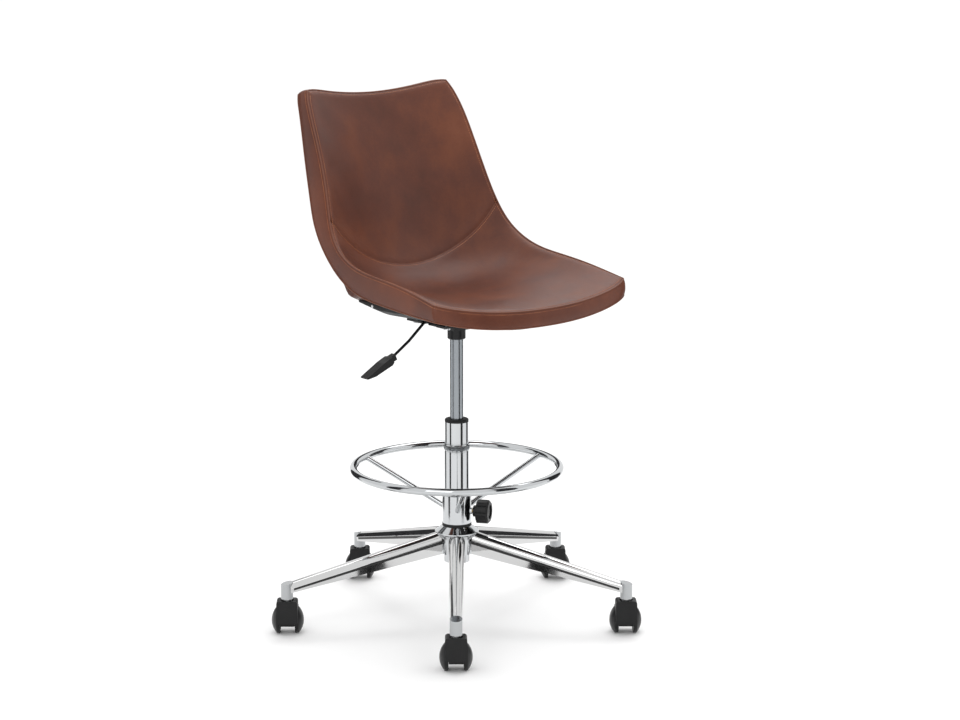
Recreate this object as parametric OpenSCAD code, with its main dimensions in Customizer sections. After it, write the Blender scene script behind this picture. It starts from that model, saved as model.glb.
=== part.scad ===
// Adjustable swivel stool: bucket seat on a gas lift, foot ring and five-leg caster base.
// Millimetres. Z is up, the floor is Z = 0, the column stands on the Z axis.
// The seat faces -Y and its height lever is on the -X side.

/* [Base] */
// Radius of the circle the caster stems stand on
stem_circle_r = 370; // [280:1:420]
// Direction of the first leg, degrees from +X
leg_turn = 231; // [0:1:360]
// Radius of the hub body
hub_r = 38; // [32:0.5:50]
// Radius of the hub's flared rim
hub_rim_r = 46.5; // [40:0.5:60]
// Height of the hub's top face
hub_top = 206; // [180:1:240]
// Height of the hub body's lower face
hub_bottom = 148; // [120:1:160]
// Height of the hub's inner tube, lower end
hub_tube_bottom = 128; // [100:1:140]
// Height of the leg's ridge at the hub
leg_root_top = 195; // [170:1:200]
// Height of the leg's lower edge at the hub
leg_root_bottom = 149; // [140:1:165]
// Height of the leg's ridge at the caster socket
leg_tip_top = 111; // [100:1:130]
// Height of the leg's lower edge at the caster socket
leg_tip_bottom = 91; // [84:1:100]
// Half width of the leg at the hub
leg_root_half = 17.5; // [12:0.5:24]
// Half width of the leg at the caster socket
leg_tip_half = 12.2; // [10:0.1:18]
// Thickness of the pressed leg
leg_wall = 2; // [1:0.5:4]
// Step between the leg's rounded top and its flat sides
leg_step = 0.8; // [0.4:0.1:2]
// Outer radius of the caster socket tube
socket_r = 12.7; // [10:0.1:16]
// Height of the caster socket's lower end
socket_bottom = 78.5; // [60:0.5:95]

/* [Casters] */
// Direction the wheels trail in at rest, degrees from +X
trail_turn = 52; // [0:1:360]
// Distance from the caster stem to its axle
trail = 18; // [10:0.5:26]
// Radius of a wheel's tread
wheel_r = 27.5; // [20:0.5:35]
// Width over both wheels of a caster
caster_w = 67; // [50:0.5:80]
// Width of the hood's block between the wheels
block_w = 30; // [20:0.5:36]
// Width of the hood over the wheels
hood_w = 44; // [34:0.5:48]
// Depth of the hood's shoulder block round the stem
shoulder_d = 34; // [24:1:44]
// Corner radius of the hood's shoulders
shoulder_r = 6; // [3:0.5:9]
// How far a wheel's outer face is domed
wheel_dome = 10.5; // [4:0.5:14]
// Radius of the caster stem
stem_r = 5.5; // [4:0.5:7]
// Length of stem inside the socket
stem_in_socket = 22; // [16:1:30]
// Radius of the caster axle
axle_r = 4; // [3:0.5:5]

/* [Column] */
// Outer radius of the column sleeve the foot ring slides on
sleeve_r = 26; // [24:0.5:32]
// Height of the sleeve's top
sleeve_top = 382; // [340:1:420]
// Height of the sleeve's rolled lip
lip_h = 13; // [6:1:20]
// How far the rolled lip stands out
lip_out = 1.2; // [0.6:0.1:2.5]
// Outer radius of the gas lift's outer tube
lift_r = 25; // [22:0.5:30]
// Wall of the outer tube
lift_wall = 1.5; // [1:0.1:3]
// Height of the outer tube's top
lift_top = 429; // [390:1:470]
// Height of the black guide ring on the outer tube
guide_h = 6; // [3:0.5:10]
// Length of the guide bush inside the outer tube
guide_len = 89; // [50:1:100]
// Radius of the sliding pressure tube
rod_r = 14; // [11:0.5:16]
// Wall of the pressure tube
rod_wall = 1.5; // [1:0.1:2.5]
// Height of the pressure tube's lower end
rod_bottom = 310; // [300:1:330]
// Radius of the inner piston rod
piston_rod_r = 5; // [4:0.5:6]
// Height of the piston's underside on its rod
piston_z = 430; // [400:1:435]
// Lowest travel of the seat from the pose shown
seat_drop = 160; // [100:1:165]

/* [Foot ring] */
// Radius of the hoop's centre line
hoop_r = 217; // [170:1:250]
// Radius of the hoop's tube
hoop_tube_r = 8; // [6:0.5:12]
// Height of the hoop's centre line
hoop_z = 330; // [290:1:360]
// Radius of a spoke
spoke_r = 5.7; // [4:0.1:7]
// Height of a spoke's axis at the collar
spoke_root_z = 244; // [232:1:262]
// Direction of the first spoke, degrees from +X
spoke_turn = -5; // [-60:1:60]
// Outer radius of the ring's collar
collar_r = 30.5; // [29.5:0.5:40]
// Length of the collar
collar_len = 60; // [40:1:80]
// Thickness of the collar's plastic liner
liner_t = 1.2; // [0.8:0.1:2]
// Height of the liner's bottom flange
liner_flange_h = 6; // [3:0.5:9]
// Direction of the clamp knob, degrees from +X
knob_turn = -54; // [-90:1:0]
// Height of the clamp screw
screw_z = 238; // [228:1:262]
// Radius of the clamp screw
screw_r = 4; // [3:0.5:5]
// Radius of the knob over its lobes
knob_r = 25; // [16:0.5:30]
// Length of the knob's body
knob_len = 29; // [18:1:40]
// Radius of the knob's neck
knob_neck_r = 12; // [8:0.5:15]
// Length of the knob's neck
knob_neck = 6; // [3:0.5:10]

/* [Mechanism] */
// Height of the taper socket's lower face
taper_bottom = 605.5; // [590:0.5:620]
// Outer radius of the taper socket
taper_r = 19; // [17.5:0.5:24]
// Length of the taper socket
taper_len = 27; // [22:1:32]
// How much the tube narrows in radius inside the taper socket
taper_in = 0.7; // [0.3:0.1:1]
// Length of the mounting plate, front to back
plate_l = 130; // [110:1:160]
// Width of the mounting plate
plate_w = 160; // [140:1:190]
// Thickness of the mounting plate
plate_t = 4; // [3:0.5:6]
// Height of the mounting plate's underside
plate_z = 644; // [641:0.5:648]
// Half width of the lever box
box_half = 30; // [28:0.5:45]
// Depth of the lever box below the plate
box_h = 16; // [15:0.5:26]
// Sheet thickness of the lever box
box_t = 2.5; // [1.5:0.5:4]
// Distance between bolts, side to side
bolt_dx = 130; // [110:1:140]
// Distance between bolts, front to back
bolt_dy = 100; // [80:1:110]
// Radius of the seat bolts
bolt_r = 4; // [3:0.5:5]
// Length of the seat bolts above the plate's underside
bolt_len = 24; // [20:0.5:26]
// Distance of the lever's pivot from the column axis
pivot_x = 22; // [20:0.5:30]
// Radius of the lever's rod
lever_r = 3; // [2.5:0.5:4]
// Radius of the lever's pivot pin
lever_pin_r = 2.5; // [2:0.5:3]
// How far out the lever's first bend is
lever_bend1_x = 84; // [75:1:92]
// How far out the lever's second bend is
lever_bend2_x = 125; // [110:1:140]
// How far out the paddle begins
lever_end_x = 172; // [155:1:190]
// How far out the paddle ends
paddle_tip_x = 241; // [220:1:260]
// Radius of the gas lift's release pin
release_r = 4; // [3:0.5:5]

/* [Seat] */
// Half width of the seat at its front corners
seat_front_half = 247; // [220:1:270]
// Half width of the seat at the bend
seat_bend_half = 240; // [215:1:260]
// Half width of the back at its top corners
back_top_half = 188; // [160:1:210]
// Length of the seat from the bend to its front middle
seat_len = 328; // [280:1:360]
// How far the front edge bulges forward
front_bulge = 35; // [10:1:60]
// Height of the sitting surface where the bend starts
seat_z = 698; // [697:1:720]
// How far behind the column axis the bend starts
bend_y = 45; // [20:1:70]
// Radius of the bend between seat and back
bend_r = 130; // [110:1:170]
// Backward lean of the back, degrees from upright
back_lean = 19.5; // [10:0.5:25]
// Rise of the seat towards its front, degrees
seat_tilt = 2.2; // [0:0.1:5]
// Height of the back's top corners
back_top = 1117; // [1040:1:1200]
// How far the top edge dips in its middle
top_dip = 21; // [5:1:40]
// Radius of the upholstery's hollow across the seat
dish_r = 560; // [500:5:700]
// Radius of the shell's hollow across the seat
shell_dish_r = 480; // [440:5:520]
// Thickness of the padding in the middle
pad_t = 34; // [28:1:45]
// Thickness of the moulded shell
shell_t = 7; // [5:0.5:10]
// Thickness of the outer cover
cover_t = 3; // [2:0.5:5]
// Thickness of the sewn side band
band_t = 4; // [3:0.5:8]
// Height of the seam between seat and back panels, in the middle
seam_z = 746; // [735:1:770]
// Radius of the curved seam between seat and back panels
seam_r = 266; // [250:1:320]
// Half width of the pan under the seat
pan_half = 222; // [190:1:230]
// Length of the pan in front of the bend
pan_len = 278; // [240:1:290]
// How far behind the column axis the pan reaches
pan_back = 90; // [75:1:110]
// Thickness of the pan under the seat
pan_t = 4; // [3:0.5:6]
// Radius of the screws round the pan
pan_screw_r = 4; // [3:0.5:6]

/* [Hidden] */
$fn = 96;
leg_count = 5;
leg_step_turn = 360 / leg_count;
slack = 0.05;
run_gap = 0.2;
eps = 0.02;
joint_step = 0.5;

// base
sleeve_in_r = lift_r + slack;
hub_bore_r = sleeve_r + slack;
hub_tube_r = sleeve_in_r + 1.5;
leg_span = stem_circle_r - hub_r;
leg_axis_root = leg_root_top - leg_root_half;
leg_axis_tip = leg_tip_top - leg_tip_half;
leg_fall = atan((leg_axis_root - leg_axis_tip) / leg_span);
leg_len = leg_span / cos(leg_fall);
leg_end = 5;
stem_bore_r = stem_r + slack;

// casters
gap_half = block_w / 2 + 0.4;
fender_in = wheel_r + 1.3;
fender_out = fender_in + 3;
hood_top = socket_bottom - 3;
neck_r = socket_r - 2.5;
stem_top = socket_bottom + stem_in_socket;
stem_bottom = 48;
dome_r = (wheel_r * wheel_r + wheel_dome * wheel_dome) / (2 * wheel_dome);
wheel_edge = caster_w / 2 - wheel_dome;

// column
lift_in_r = lift_r - lift_wall;
lift_bottom = hub_tube_bottom + 3;
lift_floor = 5;
washer_h = 6;
rod_in_r = rod_r - rod_wall;
gland_h = 15;
piston_h = 12;
chamber_top = piston_z + piston_h + seat_drop + 2;
taper_top = taper_bottom + taper_len;
clip_z = lift_bottom - 2;

// foot ring
liner_in_r = sleeve_r + slack;
liner_out_r = liner_in_r + liner_t;
collar_in_r = liner_out_r + slack;
liner_bottom = hub_top + run_gap;
collar_bottom = liner_bottom + liner_flange_h + run_gap;
collar_top = collar_bottom + collar_len;
boss_r = screw_r + 3;
boss_out = collar_r + 3.5;
knob_start = boss_out + 3;
spoke_rise = atan((hoop_z - spoke_root_z) / (hoop_r - collar_r));

// mechanism
box_z = plate_z - box_h;
pivot_z = plate_z - 6;
lever_bend1_z = pivot_z + 12;
lever_bend2_z = pivot_z - 22.5;
lever_end_z = pivot_z - 54;
paddle_tip_z = pivot_z - 83;
release_top = pivot_z - lever_r - 0.3;

// seat
bend_a = 90 - back_lean + seat_tilt;
front_r = (seat_front_half * seat_front_half + front_bulge * front_bulge) / (2 * front_bulge);
top_r = (back_top_half * back_top_half + top_dip * top_dip) / (2 * top_dip);
cover_dish_r = shell_dish_r + shell_t;
pan_dish_r = cover_dish_r + cover_t;
pan_n = -pad_t - shell_t - cover_t;
back_len = (back_top - seat_z) / cos(back_lean) + 20;

// ---------- shared helpers ----------

// Tube standing on height z.
module ring_at(z, h, r_in, r_out) {
    translate([0, 0, z])
    difference() {
        cylinder(h = h, r = r_out);
        translate([0, 0, -1])
        cylinder(h = h + 2, r = r_in);
    }
}

// Rod of radius r from point a to point b in the XZ plane.
module rod_xz(a, b, r) {
    run = b[0] - a[0];
    rise = b[1] - a[1];
    translate([a[0], 0, a[1]])
    rotate([0, 90 - atan2(rise, run), 0])
    cylinder(h = sqrt(run * run + rise * rise), r = r);
}

// Moves children from the first leg's frame to leg n.
module at_leg(n) {
    rotate([0, 0, leg_turn + (n - 1) * leg_step_turn])
    children();
}

// Moves children from a caster's own frame to the stem at leg n, trailing at rest.
module at_caster(n) {
    a = leg_turn + (n - 1) * leg_step_turn;
    translate([stem_circle_r * cos(a), stem_circle_r * sin(a), 0])
    rotate([0, 0, trail_turn - 90])
    children();
}

// ---------- base ----------

// Half outline of the hub's body, standing off its surface by off: top slope, rim and waist.
module hub_outline(off) {
    polygon([
        [0, hub_top + off], [collar_r + off, hub_top + off],
        [hub_rim_r + off, hub_top - 11.5 + off], [hub_rim_r + off, hub_top - 14 - off],
        [hub_r + 3 + off, hub_top - 18 - off], [hub_r + off, hub_top - 25 - off],
        [hub_r + off, hub_bottom], [0, hub_bottom]
    ]);
}

// Turned hub and the tube below it that grips the gas lift.
module base_hub() {
    color("silver")
    difference() {
        union() {
            rotate_extrude()
            hub_outline(0);
            translate([0, 0, hub_tube_bottom])
            cylinder(h = hub_bottom + 1 - hub_tube_bottom, r = hub_tube_r);
        }
        translate([0, 0, hub_tube_bottom - 1])
        cylinder(h = hub_top, r = sleeve_in_r);
        translate([0, 0, hub_bottom + 2])
        cylinder(h = hub_top, r = hub_bore_r);
    }
}

// Solid form of a leg: a falling cone on top of flat sides, drawn in by inset all round.
module leg_form(inset, below) {
    translate([hub_r, 0, leg_axis_root])
    rotate([0, 90 + leg_fall, 0])
    cylinder(h = leg_len, r1 = leg_root_half - inset, r2 = leg_tip_half - inset);
    intersection() {
        rotate([90, 0, 0])
        translate([0, 0, -leg_root_half])
        linear_extrude(2 * leg_root_half)
        polygon([
            [hub_r, leg_axis_root], [stem_circle_r, leg_axis_tip],
            [stem_circle_r, leg_tip_bottom - below], [hub_r, leg_root_bottom - below]
        ]);
        linear_extrude(leg_root_top)
        polygon([
            [hub_r, leg_root_half - leg_step - inset],
            [stem_circle_r, leg_tip_half - leg_step - inset],
            [stem_circle_r, leg_step + inset - leg_tip_half],
            [hub_r, leg_step + inset - leg_root_half]
        ]);
    }
}

// Pressed channel leg, open underneath, ending against the hub and its socket.
module base_leg(n) {
    color("gainsboro")
    at_leg(n)
    difference() {
        leg_form(0, 0);
        leg_form(leg_wall, 20);
        rotate_extrude()
        hub_outline(slack);
        translate([stem_circle_r, 0, socket_bottom])
        cylinder(h = 60, r = socket_r + slack);
        translate([stem_circle_r - leg_end, -leg_root_half, socket_bottom])
        cube([2 * leg_end, 2 * leg_root_half, 60]);
    }
}

// Five welded tubes that take the caster stems, each cut to the slope of its leg.
module caster_sockets() {
    color("gainsboro")
    for (n = [1:leg_count])
        at_leg(n)
        translate([stem_circle_r, 0, 0])
        difference() {
            translate([0, 0, socket_bottom])
            cylinder(h = 50, r = socket_r);
            translate([0, 0, socket_bottom - 1])
            cylinder(h = stem_in_socket + 5, r = stem_bore_r);
            translate([0, 0, leg_tip_top])
            rotate([0, leg_fall, 0])
            translate([-30, -30, 0])
            cube([60, 60, 60]);
        }
}

// ---------- casters ----------

// Front outline of the hood's shoulders, standing on the axle height.
module shoulder_outline() {
    low = wheel_r;
    high = hood_top;
    half = hood_w / 2;
    translate([-half, low])
    square([hood_w, high - low - shoulder_r]);
    translate([shoulder_r - half, low])
    square([hood_w - 2 * shoulder_r, high - low]);
    translate([half - shoulder_r, high - shoulder_r])
    circle(r = shoulder_r);
    translate([shoulder_r - half, high - shoulder_r])
    circle(r = shoulder_r);
}

// Moulded hood: block between the wheels, fenders over them, shoulders and neck at the stem.
module caster_hood(n) {
    color("dimgray")
    at_caster(n)
    difference() {
        union() {
            intersection() {
                translate([-block_w / 2, trail, wheel_r])
                rotate([0, 90, 0])
                cylinder(h = block_w, r = wheel_r - 1);
                translate([-hood_w, trail - 40, 19])
                cube([2 * hood_w, 80, 60]);
            }
            intersection() {
                translate([-hood_w / 2, trail, wheel_r])
                rotate([0, 90, 0])
                cylinder(h = hood_w, r = fender_out);
                translate([-hood_w, trail - 60, wheel_r + 4])
                cube([2 * hood_w, 60 + 16, 60]);
            }
            translate([0, shoulder_d / 2, 0])
            rotate([90, 0, 0])
            linear_extrude(shoulder_d)
            shoulder_outline();
        }
        for (side = [-1, 1])
            translate([side > 0 ? block_w / 2 : -block_w / 2 - 40, trail, wheel_r])
            rotate([0, 90, 0])
            cylinder(h = 40, r = fender_in);
        translate([0, 0, hood_top - 4.5])
        cylinder(h = 4.6, r1 = neck_r + 1, r2 = neck_r + 4);
        translate([0, 0, stem_bottom])
        cylinder(h = 60, r = stem_r + slack);
        translate([-block_w, trail, wheel_r])
        rotate([0, 90, 0])
        cylinder(h = 2 * block_w, r = axle_r + slack);
    }
}

// Steel stem with a thrust flange under the socket and a tapered nose.
module caster_stem(n) {
    color("gray")
    at_caster(n) {
        translate([0, 0, stem_bottom + eps])
        cylinder(h = stem_top - stem_bottom - 2, r = stem_r);
        translate([0, 0, stem_top - 2 + eps])
        cylinder(h = 2, r1 = stem_r, r2 = stem_r - 1.5);
        translate([0, 0, hood_top - 4.5 + eps])
        cylinder(h = 4.5 + 3 - run_gap, r = neck_r);
    }
}

// Steel pin both wheels turn on.
module caster_axle(n) {
    len = caster_w - 12;
    color("gray")
    at_caster(n)
    translate([-len / 2, trail, wheel_r])
    rotate([0, 90, 0])
    cylinder(h = len, r = axle_r);
}

// One wheel: flat tread, domed outer face, blind bore.
module wheel(n, side) {
    len = caster_w - 12;
    color("dimgray")
    at_caster(n)
    translate([0, trail, wheel_r])
    rotate([0, side * 90, 0])
    difference() {
        rotate_extrude()
        intersection() {
            translate([0, caster_w / 2 - dome_r])
            circle(r = dome_r);
            translate([0, gap_half])
            square([wheel_r, caster_w]);
        }
        translate([0, 0, gap_half - 1])
        cylinder(h = len / 2 - gap_half + 1.5, r = axle_r + slack);
        translate([0, 0, gap_half - 1])
        ring_at(0, 4, axle_r + 4, wheel_r - 5);
    }
}

// ---------- column ----------

// Plated sleeve with a rolled lip: the foot ring slides on it.
module column_sleeve() {
    z0 = hub_bottom + 2 + eps;
    color("silver")
    difference() {
        union() {
            translate([0, 0, z0])
            cylinder(h = sleeve_top - z0, r = sleeve_r);
            translate([0, 0, sleeve_top - lip_h])
            cylinder(h = 1.5, r1 = sleeve_r + 0.2, r2 = sleeve_r + lip_out);
            translate([0, 0, sleeve_top - lip_h + 1.5])
            cylinder(h = lip_h - 3, r = sleeve_r + lip_out);
            translate([0, 0, sleeve_top - 1.5])
            cylinder(h = 1.5, r1 = sleeve_r + lip_out, r2 = sleeve_r + 0.2);
        }
        translate([0, 0, z0 - 1])
        cylinder(h = sleeve_top, r = sleeve_in_r);
    }
}

// Outer tube of the gas lift, with its floor.
module lift_tube() {
    color("lightgray")
    difference() {
        translate([0, 0, lift_bottom])
        cylinder(h = lift_top - lift_bottom, r = lift_r);
        translate([0, 0, lift_bottom + lift_floor])
        cylinder(h = lift_top, r = lift_in_r);
        translate([0, 0, lift_bottom - 1])
        cylinder(h = 20, r = piston_rod_r + slack);
    }
}

// Plastic bush the pressure tube slides in; its flange is the black ring on the tube.
module guide_bush() {
    color("black")
    difference() {
        union() {
            translate([0, 0, lift_top - guide_len])
            cylinder(h = guide_len + 1, r = lift_in_r - slack);
            translate([0, 0, lift_top + eps])
            cylinder(h = guide_h - 1.5 - eps, r = lift_r);
            translate([0, 0, lift_top + guide_h - 1.5])
            cylinder(h = 1.5, r1 = lift_r, r2 = lift_r - 1.5);
        }
        translate([0, 0, lift_top - guide_len - 1])
        cylinder(h = guide_len + guide_h + 2, r = rod_r + slack);
    }
}

// Thrust bearing ring on the outer tube's floor.
module thrust_washer() {
    color("gray")
    ring_at(lift_bottom + lift_floor + eps, washer_h, piston_rod_r + slack, lift_in_r - 6);
}

// Thin rod and piston, held at the bottom of the outer tube by a clip.
module piston_rod() {
    color("lightgray")
    difference() {
        union() {
            translate([0, 0, lift_bottom - 6])
            cylinder(h = piston_z - lift_bottom + 8, r = piston_rod_r);
            translate([0, 0, piston_z])
            cylinder(h = piston_h, r = rod_in_r - slack);
        }
        ring_at(clip_z - eps, 1.5 + 2 * eps, piston_rod_r - 1, piston_rod_r + 3);
    }
}

// Spring clip under the outer tube.
module retaining_clip() {
    color("gray")
    ring_at(clip_z, 1.5, piston_rod_r - 1 + slack, piston_rod_r + 4);
}

// Pressure tube: gland at the bottom, long chamber, tapered neck at the top.
module pressure_tube() {
    color("silver")
    difference() {
        union() {
            translate([0, 0, rod_bottom])
            cylinder(h = taper_bottom - rod_bottom, r = rod_r);
            translate([0, 0, taper_bottom])
            cylinder(h = taper_len - 3, r1 = rod_r, r2 = rod_r - taper_in);
        }
        translate([0, 0, rod_bottom + gland_h])
        cylinder(h = chamber_top - rod_bottom - gland_h, r = rod_in_r);
        translate([0, 0, rod_bottom - 1])
        cylinder(h = gland_h + 2, r = piston_rod_r + slack);
        translate([0, 0, chamber_top - 1])
        cylinder(h = 60, r = release_r + slack);
    }
}

// Pin in the neck that opens the gas valve.
module release_pin() {
    color("silver")
    translate([0, 0, taper_bottom + 4])
    cylinder(h = release_top - taper_bottom - 4, r = release_r);
}

// ---------- foot ring ----------

// Plastic liner between collar and sleeve, with a flange that rests on the hub.
module ring_liner() {
    color("black") {
        ring_at(liner_bottom, liner_flange_h, liner_in_r, collar_r + 0.4);
        ring_at(liner_bottom + liner_flange_h - eps, collar_len - 1, liner_in_r, liner_out_r);
    }
}

// Collar with a slit at its top and a threaded boss for the clamp screw.
module ring_collar() {
    color("silver")
    difference() {
        union() {
            translate([0, 0, collar_bottom])
            cylinder(h = collar_len, r = collar_r);
            rotate([0, 0, knob_turn])
            translate([collar_in_r + 1, 0, screw_z])
            rotate([0, 90, 0])
            cylinder(h = boss_out - collar_in_r - 1, r = boss_r);
        }
        translate([0, 0, collar_bottom - 1])
        cylinder(h = collar_len + 2, r = collar_in_r);
        rotate([0, 0, knob_turn])
        translate([0, 0, screw_z])
        rotate([0, 90, 0])
        cylinder(h = 60, r = screw_r + slack);
        rotate([0, 0, knob_turn - 20])
        translate([collar_in_r - 3, -1.2, screw_z - 3])
        cube([12, 2.4, collar_len]);
    }
}

// Three welded rods from the collar up to the hoop.
module ring_spokes() {
    reach = (hoop_r - collar_r + 8) / cos(spoke_rise);
    color("silver")
    for (k = [0:2])
        rotate([0, 0, spoke_turn + 120 * k])
        difference() {
            translate([collar_r - 8, 0, spoke_root_z - 8 * tan(spoke_rise)])
            rotate([0, 90 - spoke_rise, 0])
            cylinder(h = reach, r = spoke_r);
            translate([0, 0, spoke_root_z - 60])
            cylinder(h = 120, r = collar_r + slack);
            translate([0, 0, hoop_z])
            rotate_extrude()
            translate([hoop_r, 0])
            circle(r = hoop_tube_r + slack);
        }
}

// The hoop the feet rest on.
module ring_hoop() {
    color("silver")
    translate([0, 0, hoop_z])
    rotate_extrude()
    translate([hoop_r, 0])
    circle(r = hoop_tube_r);
}

// Clamp screw through the boss, pressing on the liner.
module clamp_screw() {
    color("goldenrod")
    rotate([0, 0, knob_turn])
    translate([liner_out_r + slack, 0, screw_z])
    rotate([0, 90, 0])
    cylinder(h = knob_start + 14 - liner_out_r, r = screw_r);
}

// Lobed knob with a recessed end.
module clamp_knob() {
    flute_r = knob_r * 0.2;
    color("black")
    rotate([0, 0, knob_turn])
    translate([knob_start, 0, screw_z])
    rotate([0, 90, 0])
    difference() {
        union() {
            cylinder(h = knob_neck, r = knob_neck_r);
            translate([0, 0, knob_neck])
            cylinder(h = 3, r1 = knob_neck_r + 4, r2 = knob_r);
            translate([0, 0, knob_neck + 3])
            cylinder(h = knob_len - 7, r = knob_r);
            translate([0, 0, knob_neck + knob_len - 4])
            cylinder(h = 4, r1 = knob_r, r2 = knob_r - 4);
        }
        for (k = [0:7])
            rotate([0, 0, k * 45])
            translate([knob_r + flute_r * 0.55, 0, knob_neck - 1])
            cylinder(h = knob_len + 2, r = flute_r);
        translate([0, 0, knob_neck + knob_len - 2.5])
        cylinder(h = 4, r = knob_r * 0.6);
        translate([0, 0, -1])
        cylinder(h = 15.2, r = screw_r + slack);
    }
}

// ---------- mechanism ----------

// Black socket the pressure tube's neck wedges into.
module taper_socket() {
    color("black")
    difference() {
        union() {
            translate([0, 0, taper_bottom])
            cylinder(h = 1.5, r1 = taper_r - 1.2, r2 = taper_r);
            translate([0, 0, taper_bottom + 1.5])
            cylinder(h = taper_len - 4.5, r = taper_r);
        }
        translate([0, 0, taper_bottom - 1])
        cylinder(h = 1 + eps, r = rod_r + slack);
        translate([0, 0, taper_bottom])
        cylinder(h = taper_len - 3, r1 = rod_r + slack, r2 = rod_r - taper_in + slack);
        translate([0, 0, taper_top - 3.1])
        cylinder(h = 4, r = rod_r - taper_in + slack);
    }
}

// Pressed box under the plate: it holds the taper socket and the lever's pivot.
module lever_box() {
    inner = box_half - box_t;
    color("dimgray")
    difference() {
        translate([-box_half, -box_half, box_z])
        cube([2 * box_half, 2 * box_half, box_h]);
        translate([-inner, -inner, box_z + box_t])
        cube([2 * inner, 2 * inner, box_h]);
        translate([0, 0, box_z - 1])
        cylinder(h = box_t + 2, r = taper_r + slack);
        translate([-box_half - 1, -lever_r - 1.5, pivot_z - lever_r - 3])
        cube([box_t + 2, 2 * lever_r + 3, box_h]);
        translate([-pivot_x, box_half + 1, pivot_z])
        rotate([90, 0, 0])
        cylinder(h = 2 * box_half + 2, r = lever_pin_r + slack);
    }
}

// Steel plate bolted under the pan, notched where the lever rises.
module mount_plate() {
    color("dimgray")
    difference() {
        translate([-plate_w / 2, -plate_l / 2, plate_z + eps])
        cube([plate_w, plate_l, plate_t]);
        translate([-plate_w, -lever_r - 4, plate_z - 1])
        cube([plate_w - pivot_x + 12, 2 * lever_r + 8, plate_t + 2]);
        at_bolts()
        translate([0, 0, plate_z - 1])
        cylinder(h = plate_t + 2, r = bolt_r + 0.25);
    }
}

// Places children at the four seat bolts.
module at_bolts() {
    for (x = [-1, 1])
        for (y = [-1, 1])
            translate([x * bolt_dx / 2, y * bolt_dy / 2, 0])
            children();
}

// Four bolts up through plate and pan into the shell.
module plate_bolts() {
    color("silver")
    at_bolts() {
        translate([0, 0, plate_z - 5])
        cylinder(h = 5, r = bolt_r * 1.75);
        translate([0, 0, plate_z - 1])
        cylinder(h = bolt_len, r = bolt_r);
    }
}

// Pin across the box that the lever rocks on.
module lever_pin() {
    color("gray")
    translate([-pivot_x, box_half, pivot_z])
    rotate([90, 0, 0])
    cylinder(h = 2 * box_half, r = lever_pin_r);
}

// Bent lever: inner arm over the release pin, pivot boss, rod out to the paddle.
module lever_rod() {
    knee = lever_r + 0.12;
    tip = [0, pivot_z];
    hub = [-pivot_x, pivot_z];
    b1 = [-lever_bend1_x, lever_bend1_z];
    b2 = [-lever_bend2_x, lever_bend2_z];
    stop = [-lever_end_x, lever_end_z];
    color("black")
    difference() {
        union() {
            rod_xz(tip, hub, lever_r);
            rod_xz(hub, b1, lever_r);
            rod_xz(b1, b2, lever_r);
            rod_xz(b2, stop, lever_r);
            translate([tip[0], 0, tip[1]])
            sphere(r = knee);
            translate([b1[0], 0, b1[1]])
            sphere(r = knee);
            translate([b2[0], 0, b2[1]])
            sphere(r = knee);
            translate([-pivot_x, 4.4, pivot_z])
            rotate([90, 0, 0])
            cylinder(h = 8.8, r = lever_pin_r + 2.8);
        }
        translate([-pivot_x, 6, pivot_z])
        rotate([90, 0, 0])
        cylinder(h = 12, r = lever_pin_r + slack);
    }
}

// Flat moulded paddle on the lever's end, socketed over the rod.
module lever_paddle() {
    fall = atan2(lever_end_z - paddle_tip_z, paddle_tip_x - lever_end_x);
    span = paddle_tip_x - lever_end_x;
    reach = span / cos(fall);
    color("black")
    difference() {
        translate([-lever_end_x, 0, lever_end_z])
        rotate([0, fall * -1, 0])
        mirror([1, 0, 0])
        union() {
            translate([-10, -6.5, -6.5])
            cube([14, 13, 13]);
            rotate([90, 0, 0])
            translate([0, 0, -12])
            linear_extrude(24)
            polygon([
                [2, -6], [8, -9], [reach * 0.72, -9], [reach, -4.5],
                [reach, -1.5], [reach * 0.35, 5.5], [6, 6.5], [2, 6]
            ]);
        }
        rod_xz(
            [-lever_bend2_x, lever_bend2_z],
            [-lever_end_x, lever_end_z],
            lever_r + slack
        );
        translate([-lever_end_x, 0, lever_end_z])
        sphere(r = lever_r + 0.2);
    }
}

// ---------- seat ----------

// Seat frame: origin where the bend starts, +Y backwards along the seat, +Z out of its surface.
module seat_frame() {
    translate([0, bend_y, seat_z])
    rotate([-seat_tilt, 0, 0])
    children();
}

// Cross-section of one layer between an upper and a lower hollow, out to half width w,
// drawn in all round by thin.
module layer_section(up_r, up_n, low_r, low_n, w, thin) {
    intersection() {
        difference() {
            translate([0, low_n + low_r])
            circle(r = low_r - thin, $fn = 240);
            translate([0, up_n + up_r])
            circle(r = up_r + thin, $fn = 240);
        }
        translate([-w, low_n - 5])
        square([2 * w, 130]);
    }
}

// Carries a cross-section along the seat and round the bend.
module seat_and_bend(front_len) {
    rotate([90, 0, 0])
    linear_extrude(front_len)
    children();
    translate([0, 0, bend_r])
    rotate([0, 90, 0])
    rotate_extrude(angle = bend_a, $fn = 240)
    translate([bend_r, 0])
    rotate(90)
    children();
}

// Full bent layer between two hollows. Its back is joint_step thinner and starts just
// inside the bend, so the two always join.
module layer(up_r, up_n, low_r, low_n) {
    w = seat_front_half + 20;
    seat_frame() {
        seat_and_bend(seat_len + 60)
        layer_section(up_r, up_n, low_r, low_n, w, 0);
        translate([0, 0, bend_r])
        rotate([bend_a, 0, 0])
        translate([0, back_len, -bend_r])
        rotate([90, 0, 0])
        linear_extrude(back_len + 0.5)
        layer_section(up_r, up_n, low_r, low_n, w, joint_step);
    }
}

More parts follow.
